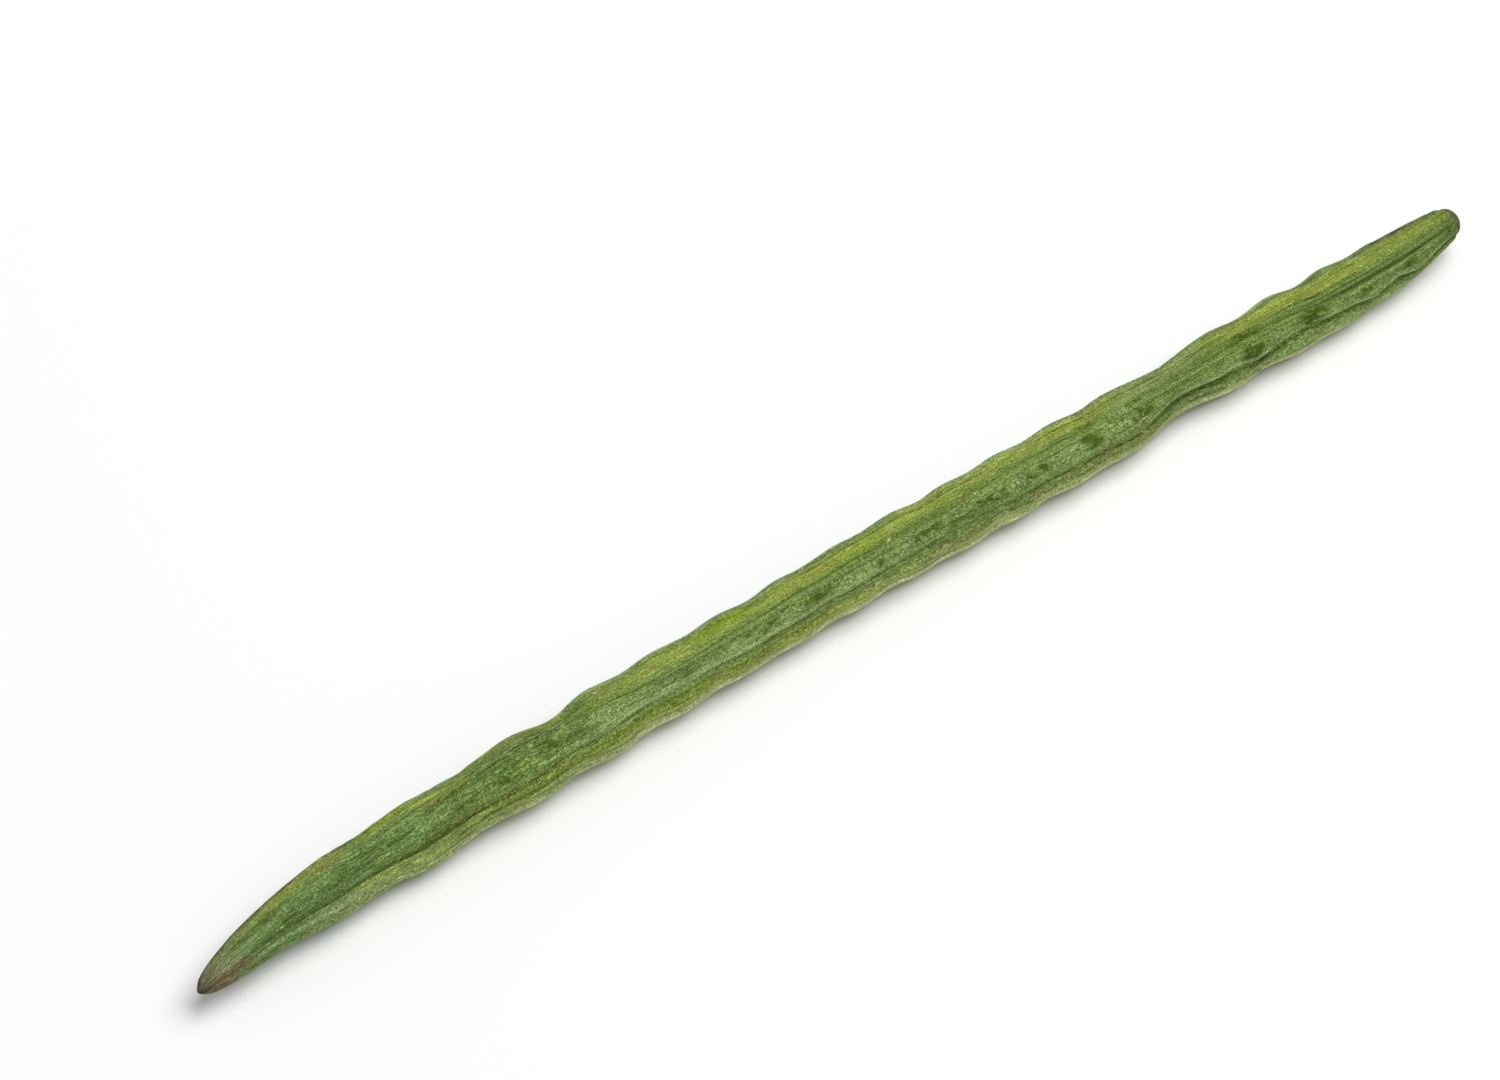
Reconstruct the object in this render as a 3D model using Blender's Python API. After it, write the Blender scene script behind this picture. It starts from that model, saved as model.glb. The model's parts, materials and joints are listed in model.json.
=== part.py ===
"""A fresh moringa pod lying on a flat surface.

The pod grew as one piece, so it is one solid. It is a long tube with nine ribs, and it swells over
each seed. It tapers to its tip at -X, and at +X it rounds over to the scar where its stalk was.
"""

import math

import bmesh
import bpy
import numpy as np
from mathutils import Vector

MM = 0.001

# Every length below is in millimetres. A station is a distance along the pod, measured from its tip.
POD_LENGTH = 450.0

# The radius over the crowns of the ribs, where the pod is fullest: station and radius.
FULL_RADIUS = (
    (0.0, 1.6),
    (5.0, 3.5),
    (12.0, 5.0),
    (28.0, 6.7),
    (44.0, 8.5),
    (75.0, 9.6),
    (110.0, 10.0),
    (137.0, 10.0),
    (160.0, 9.7),
    (190.0, 9.7),
    (245.0, 9.9),
    (300.0, 9.8),
    (358.0, 9.5),
    (382.0, 9.8),
    (403.0, 9.5),
    (417.0, 8.8),
    (428.0, 7.9),
    (438.0, 6.6),
    (450.0, 4.9),
)
# How the outline rounds over at each end: how far the rounding reaches, and how full it is.
TIP_ROUNDING = (3.0, 2.0)
STALK_END_ROUNDING = (7.0, 2.6)

# The middle line of the pod: station, sideways place and height over the surface.
MIDDLE_LINE = (
    (0.0, -3.4, 9.2),
    (12.0, -0.8, 9.0),
    (27.0, 1.7, 8.9),
    (45.0, 2.7, 8.8),
    (75.0, 3.1, 8.9),
    (110.0, 3.2, 9.2),
    (137.0, 3.0, 9.1),
    (160.0, 2.8, 8.9),
    (200.0, 2.1, 8.9),
    (245.0, 1.0, 9.0),
    (280.0, -0.6, 9.0),
    (320.0, -1.8, 8.9),
    (345.0, -1.7, 8.9),
    (375.0, -2.6, 9.1),
    (403.0, -3.7, 9.0),
    (425.0, -3.7, 9.2),
    (450.0, -2.5, 9.8),
)

# The seeds: station, and how deep the waist between this seed and the next one is.
SEEDS = (
    (44.0, 1.0),
    (74.0, 1.5),
    (110.0, 1.5),
    (137.0, 0.9),
    (159.0, 0.7),
    (180.0, 0.7),
    (201.0, 0.7),
    (221.0, 0.7),
    (241.0, 0.6),
    (259.0, 0.6),
    (278.0, 0.8),
    (298.0, 0.6),
    (318.0, 2.0),
    (359.0, 1.1),
    (382.0, 0.9),
    (402.0, 0.7),
    (421.0, 0.0),
)
# A waist is this share deeper on one side, which goes round the pod from one valve to the next.
WAIST_LEAN = 0.35
FIRST_LEAN_ANGLE = 160.0

# Angles stand in the cross-section, in degrees, from the +Y side up over the top of the pod.
GROOVE_ANGLES = (23, 64, 103, 151, 190, 230, 270, 310, 346)
# How far the ribs have turned: station and degrees.
TWIST = (
    (0.0, -12.0),
    (225.0, 0.0),
    (330.0, 6.0),
    (365.0, 14.0),
    (405.0, 19.0),
    (450.0, 22.0),
)
# Every third groove is a seam between two of the three valves. All grooves deepen towards the stalk.
VALVES = 3
SEAM_DEPTH = 0.7
FURROW_DEPTH = 0.45
DEEPENING = 0.4
GROOVE_WIDTH = 1.2
RIB_HEIGHT = 0.35
THREE_SIDEDNESS = 0.25
# Where the pod is slimmer than this radius, the ribs are lower in proportion.
FULL_RELIEF_RADIUS = 9.0

# The stalk's scar: its station, the dip along its edge, and the small pit at its middle.
SCAR_STATION = 446.8
SCAR_EDGE_DEPTH = 0.35
SCAR_EDGE_WIDTH = 0.6
PIT_RADIUS = 1.1
PIT_DEPTH = 0.5

# Where the points of a ring stand across each rib, as shares of its width.
POINTS_ACROSS_RIB = (0.0, 0.15, 0.38, 0.62, 0.85)
# The rings are even along the body and follow these stations at the two ends.
BODY_RINGS = 98
TIP_STATIONS = (0.15, 0.7, 1.6, 3.0, 5.0, 8.0, 11.5)
STALK_END_STATIONS = (438.0, 441.0, 443.5, 445.3, 446.2, 446.8, 447.4, 448.3, 449.2, 449.75, 450.0)

SKIN_COLOUR = (0.15, 0.23, 0.05, 1.0)
SKIN_ROUGHNESS = 0.55


def smooth_curve(table, column, station):
    """Reads this column of a table at a station, on a smooth curve through all its rows."""
    stations = np.array([row[0] for row in table])
    values = np.array([row[column] for row in table])
    slopes = np.gradient(values, stations)
    i = int(np.clip(np.searchsorted(stations, station) - 1, 0, len(stations) - 2))
    gap = stations[i + 1] - stations[i]
    t = (station - stations[i]) / gap
    ease = t * t * (3 - 2 * t)
    leaving = gap * slopes[i] * t * (1 - t) ** 2
    arriving = gap * slopes[i + 1] * t * t * (t - 1)
    return values[i] * (1 - ease) + values[i + 1] * ease + leaving + arriving


def rounding(distance, reach, fullness):
    """The outline's share of its full radius, from 0 at an end of the pod to 1 at this reach from it."""
    if distance >= reach:
        return 1.0
    return (1 - (1 - distance / reach) ** fullness) ** (1 / fullness)


def full_radius(station):
    """The radius over the ribs' crowns, before the waists between the seeds are taken off."""
    radius = smooth_curve(FULL_RADIUS, 1, station)
    radius *= rounding(station, *TIP_ROUNDING)
    radius *= rounding(POD_LENGTH - station, *STALK_END_ROUNDING)
    if station > SCAR_STATION:
        radius = max(radius, PIT_RADIUS)
    from_edge = (station - SCAR_STATION) / SCAR_EDGE_WIDTH
    return radius - SCAR_EDGE_DEPTH * math.exp(-from_edge * from_edge)


def waist(station, angle):
    """How far the wall draws in between two seeds, a little more on one side of the pod."""
    for i in range(len(SEEDS) - 1):
        start, depth = SEEDS[i]
        end = SEEDS[i + 1][0]
        if start < station < end:
            share = (station - start) / (end - start)
            deeper_side = math.radians(FIRST_LEAN_ANGLE + 360.0 * i / VALVES)
            lean = 1 + WAIST_LEAN * math.cos(angle - deeper_side)
            return depth * lean * math.sin(math.pi * share) ** 2
    return 0.0


def relief(station):
    """How strongly the ribs stand here: less at the slim ends, and not at all on the scar."""
    before_scar = (SCAR_STATION - station) / SCAR_EDGE_WIDTH
    fade = min(max(before_scar, 0.0), 1.0)
    return min(full_radius(station) / FULL_RELIEF_RADIUS, 1.0) * fade


def groove_angle(groove, station):
    """The angle of one groove, counted on past a full turn. All of them twist slowly along the pod."""
    turns, groove = divmod(groove, len(GROOVE_ANGLES))
    return math.radians(GROOVE_ANGLES[groove] + 360.0 * turns + smooth_curve(TWIST, 1, station))


def skin_place(station, rib, across):
    """The angle and the radius of the skin at a station, at this share of the width of one rib."""
    start = groove_angle(rib, station)
    end = groove_angle(rib + 1, station)
    angle = start + (end - start) * across
    radius = full_radius(station) - waist(station, angle)

    groove = rib if across < 0.5 else rib + 1
    depth = SEAM_DEPTH if groove % VALVES == 0 else FURROW_DEPTH
    depth *= 1 + DEEPENING * (2 * station / POD_LENGTH - 1)
    from_groove = min(across, 1 - across) * (end - start) * radius / GROOVE_WIDTH
    hollow = depth * math.exp(-from_groove * from_groove)
    hollow += RIB_HEIGHT * (2 * across - 1) ** 2
    hollow += THREE_SIDEDNESS * (1 + math.cos(VALVES * (angle - groove_angle(0, station)))) / 2
    return angle, radius - relief(station) * hollow


def middle_point(station):
    sideways = smooth_curve(MIDDLE_LINE, 1, station)
    height = smooth_curve(MIDDLE_LINE, 2, station)
    return Vector((station - POD_LENGTH / 2, sideways, height))


def skin_ring(station):
    """One ring of points on the skin, square to the middle line. None of them sinks below the surface."""
    along = (middle_point(station + 0.5) - middle_point(station - 0.5)).normalized()
    sideways = Vector((0, 0, 1)).cross(along).normalized()
    upwards = along.cross(sideways)
    ring = []
    for rib in range(len(GROOVE_ANGLES)):
        for across in POINTS_ACROSS_RIB:
            angle, radius = skin_place(station, rib, across)
            outwards = sideways * math.cos(angle) + upwards * math.sin(angle)
            point = middle_point(station) + outwards * radius
            point.z = max(point.z, 0.0)
            ring.append(point * MM)
    return ring


def ring_stations():
    body = np.linspace(TIP_STATIONS[-1], STALK_END_STATIONS[0], BODY_RINGS + 2)[1:-1]
    return [*TIP_STATIONS, *body, *STALK_END_STATIONS]


def plain_tube(points, rings):
    """A straight closed cylinder along Z with a radius of 1 and its rings 1 apart."""
    bm = bmesh.new()
    bmesh.ops.create_cone(
        bm, cap_ends=True, cap_tris=True, segments=points, radius1=1, radius2=1, depth=rings - 1
    )
    long_edges = [e for e in bm.edges if abs(e.verts[0].co.z - e.verts[1].co.z) > 0.5]
    bmesh.ops.subdivide_edges(bm, edges=long_edges, cuts=rings - 2, use_grid_fill=True)
    return bm


def build_pod():
    """Shapes a plain tube into the pod: each of its rings becomes a ring of the skin."""
    rings = [skin_ring(station) for station in ring_stations()]
    points = len(rings[0])
    bm = plain_tube(points, len(rings))
    for vertex in bm.verts:
        plain = vertex.co
        if plain.xy.length < 0.5:
            station = 0.0 if plain.z < 0 else POD_LENGTH - PIT_DEPTH
            vertex.co = middle_point(station) * MM
        else:
            turn = math.atan2(-plain.x, plain.y) / math.tau
            ring = round(plain.z + (len(rings) - 1) / 2)
            vertex.co = rings[ring][round(turn * points) % points]
    mesh = bpy.data.meshes.new("pod")
    bm.to_mesh(mesh)
    bm.free()
    mesh.shade_smooth()
    return bpy.data.objects.new("pod", mesh)


def skin_material():
    material = bpy.data.materials.new("pod_skin")
    material.use_nodes = True
    shader = material.node_tree.nodes["Principled BSDF"]
    shader.inputs["Base Color"].default_value = SKIN_COLOUR
    shader.inputs["Roughness"].default_value = SKIN_ROUGHNESS
    shader.inputs["Metallic"].default_value = 0.0
    return material


def main():
    for obj in list(bpy.data.objects):
        bpy.data.objects.remove(obj)
    pod = build_pod()
    pod.data.materials.append(skin_material())
    bpy.context.scene.collection.objects.link(pod)


main()
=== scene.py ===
import json
import math
import random

import bmesh
import bpy
import numpy as np
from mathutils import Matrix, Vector, noise

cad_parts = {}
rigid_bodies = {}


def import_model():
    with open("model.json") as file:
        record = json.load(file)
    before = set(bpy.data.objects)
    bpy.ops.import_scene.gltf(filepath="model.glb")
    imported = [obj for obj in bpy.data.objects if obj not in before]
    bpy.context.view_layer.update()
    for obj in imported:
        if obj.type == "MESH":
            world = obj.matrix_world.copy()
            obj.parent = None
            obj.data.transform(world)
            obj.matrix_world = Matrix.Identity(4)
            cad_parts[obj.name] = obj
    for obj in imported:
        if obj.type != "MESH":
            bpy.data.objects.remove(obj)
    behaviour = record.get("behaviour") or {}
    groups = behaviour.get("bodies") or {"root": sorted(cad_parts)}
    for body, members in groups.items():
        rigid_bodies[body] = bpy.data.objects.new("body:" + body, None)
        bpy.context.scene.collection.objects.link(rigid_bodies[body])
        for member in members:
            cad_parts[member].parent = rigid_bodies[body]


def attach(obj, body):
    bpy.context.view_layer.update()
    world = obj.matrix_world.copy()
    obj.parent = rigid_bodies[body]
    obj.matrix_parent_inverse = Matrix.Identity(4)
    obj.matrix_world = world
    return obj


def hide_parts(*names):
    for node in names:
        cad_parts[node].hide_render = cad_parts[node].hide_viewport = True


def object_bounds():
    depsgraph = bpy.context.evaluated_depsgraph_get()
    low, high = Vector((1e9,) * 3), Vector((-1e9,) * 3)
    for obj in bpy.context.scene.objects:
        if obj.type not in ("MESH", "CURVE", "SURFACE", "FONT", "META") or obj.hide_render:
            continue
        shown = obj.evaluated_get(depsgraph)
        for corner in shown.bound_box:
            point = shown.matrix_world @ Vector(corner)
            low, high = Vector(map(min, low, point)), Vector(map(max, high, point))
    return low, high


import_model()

mm = 0.001
cadLow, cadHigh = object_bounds()
print("frame loaded")

# The pod's form, in millimetres. A station is a distance along the pod, from its tip.
podForm = {
    "length": 450.0,
    # station and radius over the crowns of the ribs
    "fullRadius": [
        (0.0, 1.6), (5.0, 3.5), (12.0, 5.0), (28.0, 6.7), (44.0, 8.5), (75.0, 9.6), (110.0, 10.0),
        (137.0, 10.0), (160.0, 9.7), (190.0, 9.7), (245.0, 9.9), (300.0, 9.8), (358.0, 9.5),
        (382.0, 9.8), (403.0, 9.5), (417.0, 8.8), (428.0, 7.9), (438.0, 6.6), (450.0, 4.9),
    ],
    # how far the outline rounds over at each end, and how full it is there
    "tipRounding": (3.0, 2.0),
    "stalkRounding": (7.0, 2.6),
    # station, sideways place and height over the floor
    "middleLine": [
        (0.0, -3.4, 9.2), (12.0, -0.8, 9.0), (27.0, 1.7, 8.9), (45.0, 2.7, 8.8), (75.0, 3.1, 8.9),
        (110.0, 3.2, 9.2), (137.0, 3.0, 9.1), (160.0, 2.8, 8.9), (200.0, 2.1, 8.9), (245.0, 1.0, 9.0),
        (280.0, -0.6, 9.0), (320.0, -1.8, 8.9), (345.0, -1.7, 8.9), (375.0, -2.6, 9.1),
        (403.0, -3.7, 9.0), (425.0, -3.7, 9.2), (450.0, -2.5, 9.8),
    ],
    # station of each seed and depth of the waist after it
    "seeds": [
        (44.0, 1.0), (74.0, 1.5), (110.0, 1.5), (137.0, 0.9), (159.0, 0.7), (180.0, 0.7),
        (201.0, 0.7), (221.0, 0.7), (241.0, 0.6), (259.0, 0.6), (278.0, 0.8), (298.0, 0.6),
        (318.0, 2.0), (359.0, 1.1), (382.0, 0.9), (402.0, 0.7), (421.0, 0.0),
    ],
    # a waist is this share deeper on one side, which goes round the pod from valve to valve
    "waistLean": 0.35,
    "firstLeanAngle": 160.0,
    # the grooves stand at these angles, from the +Y side up over the top, and turn along the pod
    "grooveAngles": [23, 64, 103, 151, 190, 230, 270, 310, 346],
    "twist": [(0.0, -12.0), (225.0, 0.0), (330.0, 6.0), (365.0, 14.0), (405.0, 19.0), (450.0, 22.0)],
    # every third groove is a seam between two valves, and all grooves deepen towards the stalk
    "valves": 3,
    "seamDepth": 0.7,
    "furrowDepth": 0.45,
    "deepening": 0.4,
    "grooveWidth": 1.2,
    "ribHeight": 0.35,
    "threeSidedness": 0.25,
    # where the pod is slimmer than this, its relief is lower in proportion
    "fullReliefRadius": 9.0,
    "scarStation": 446.8,
    "scarEdgeDepth": 0.35,
    "scarEdgeWidth": 0.6,
    "pitRadius": 1.1,
    "pitDepth": 0.5,
}

# The fine relief on that form, in millimetres too, and how dense the mesh is.
podDetail = {
    "pointsPerRib": 20,
    "bodyRings": 450,
    # the rings near an end stand closer together towards it
    "tipRings": 24,
    "tipReach": 12.0,
    "stalkRings": 42,
    "stalkReach": 12.0,
    "pitRings": 5,
    # noise and marks are laid out on a straightened pod of this radius
    "straightRadius": 9.6,
    # wander of every groove: degrees, length of its waves, and where in the noise each one is read
    "grooveWander": (2.2, 16.0, 7.3, 0.5),
    # the two grooves that show in front sway with the seeds: groove, then station and degrees
    "grooveSway": {
        2: [
            (0.0, 0.0), (30.0, -4.0), (80.0, -5.0), (92.0, -10.0), (118.0, -13.0), (136.0, -7.0),
            (150.0, 0.0), (200.0, -3.0), (257.0, -5.0), (285.0, -9.0), (315.0, -9.0), (335.0, -8.0),
            (350.0, -10.0), (365.0, -12.0), (380.0, -10.0), (396.0, -4.0), (412.0, 1.0), (430.0, 4.0),
            (450.0, 9.0),
        ],
        3: [
            (0.0, 0.0), (120.0, 0.0), (150.0, -7.0), (186.0, -1.0), (215.0, -5.0), (240.0, -5.0),
            (300.0, 0.0), (324.0, 5.0), (338.0, -4.0), (346.0, -4.0), (352.0, -7.0), (357.0, -13.0),
            (361.0, -10.0), (365.0, -2.0), (370.0, -5.0), (374.0, -12.0), (379.0, -19.0),
            (385.5, -20.0), (392.0, -12.0), (398.0, -11.0), (403.0, -9.0), (407.0, 1.0), (411.0, 9.0),
            (415.5, -3.0), (420.0, -9.0), (425.5, 7.0), (428.5, 14.0), (432.0, 13.0), (436.0, 8.0),
            (450.0, 8.0),
        ],
    },
    # streaks of relief: height, length along the pod, width across it and slant, and how far apart
    # in the noise the four are read
    "streaks": {
        "lumps": (0.28, 15.0, 8.0, 0.0),
        "ridgelets": (0.6, 90.0, 1.7, 0.0),
        "striae": (0.32, 45.0, 0.8, 0.0),
        "wrinkles": (0.36, 4.6, 1.5, 0.7),
    },
    "streaksApart": 31.7,
    # wrinkles have this share over a seed, and fade before a station, over a length, to a share
    "wrinklesOverSeed": 0.4,
    "wrinkleFade": (170.0, 80.0, 0.2),
    # the sharp crease in each groove, and the width of the painted shade in it
    "creaseDepth": 0.22,
    "creaseWidth": 0.5,
    "grooveShadeWidth": 0.7,
    # how strong the crease and the painted shade of each groove are: groove, then station and
    # strength
    "grooveTone": {
        1: [(0.0, 0.0), (60.0, 0.15), (450.0, 0.2)],
        2: [
            (0.0, 0.0), (18.0, 0.2), (36.0, 0.1), (60.0, 0.1), (84.0, 0.7), (104.0, 1.0),
            (124.0, 0.4), (145.0, 0.2), (200.0, 0.25), (330.0, 0.25), (342.0, 0.5), (385.0, 0.5),
            (405.0, 0.6), (442.0, 0.7), (450.0, 0.0),
        ],
        3: [
            (0.0, 0.0), (12.0, 0.1), (20.0, 0.3), (50.0, 0.3), (64.0, 0.45), (104.0, 0.35),
            (140.0, 0.3), (200.0, 0.35), (236.0, 0.3), (256.0, 0.15), (322.0, 0.15), (334.0, 0.7),
            (352.0, 0.7), (360.0, 0.4), (367.0, 0.9), (376.0, 0.4), (392.0, 0.5), (403.0, 0.6),
            (409.0, 0.95), (417.0, 0.6), (427.0, 0.95), (446.0, 0.8), (450.0, 0.0),
        ],
        4: [(0.0, 0.0), (30.0, 0.1), (450.0, 0.1)],
    },
    "otherTone": [(0.0, 0.0), (20.0, 0.25), (120.0, 0.3), (300.0, 0.35), (446.0, 0.6), (450.0, 0.0)],
    # the lip above the front seam, with a painted highlight: its height, how far from the seam, and
    # where it stands out
    "lipGroove": 3,
    "lipHeight": 0.2,
    "lipPlace": (1.35, 0.75),
    "lipTone": [
        (0.0, 0.0), (100.0, 0.1), (126.0, 0.4), (150.0, 0.9), (215.0, 0.85), (240.0, 0.5),
        (262.0, 0.2), (324.0, 0.2), (336.0, 1.0), (375.0, 1.0), (400.0, 0.8), (425.0, 0.9),
        (444.0, 0.5), (450.0, 0.0),
    ],
    # a rib's powdery crown: how far from the groove it is full, and how slowly it starts
    "crown": (2.5, 1.5),
    "blotchPit": 0.24,
    # the lines on the scar: depth and width
    "scarLines": (0.16, 0.16),
    # the faint collar before the scar: its depth, then its station and width
    "collarDepth": 0.16,
    "collarPlace": (442.8, 0.45),
    # a mark longer than this many of its half widths keeps its width, and how sharply marks end
    "longMark": 6.0,
    "markEdge": 1.3,
}

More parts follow.
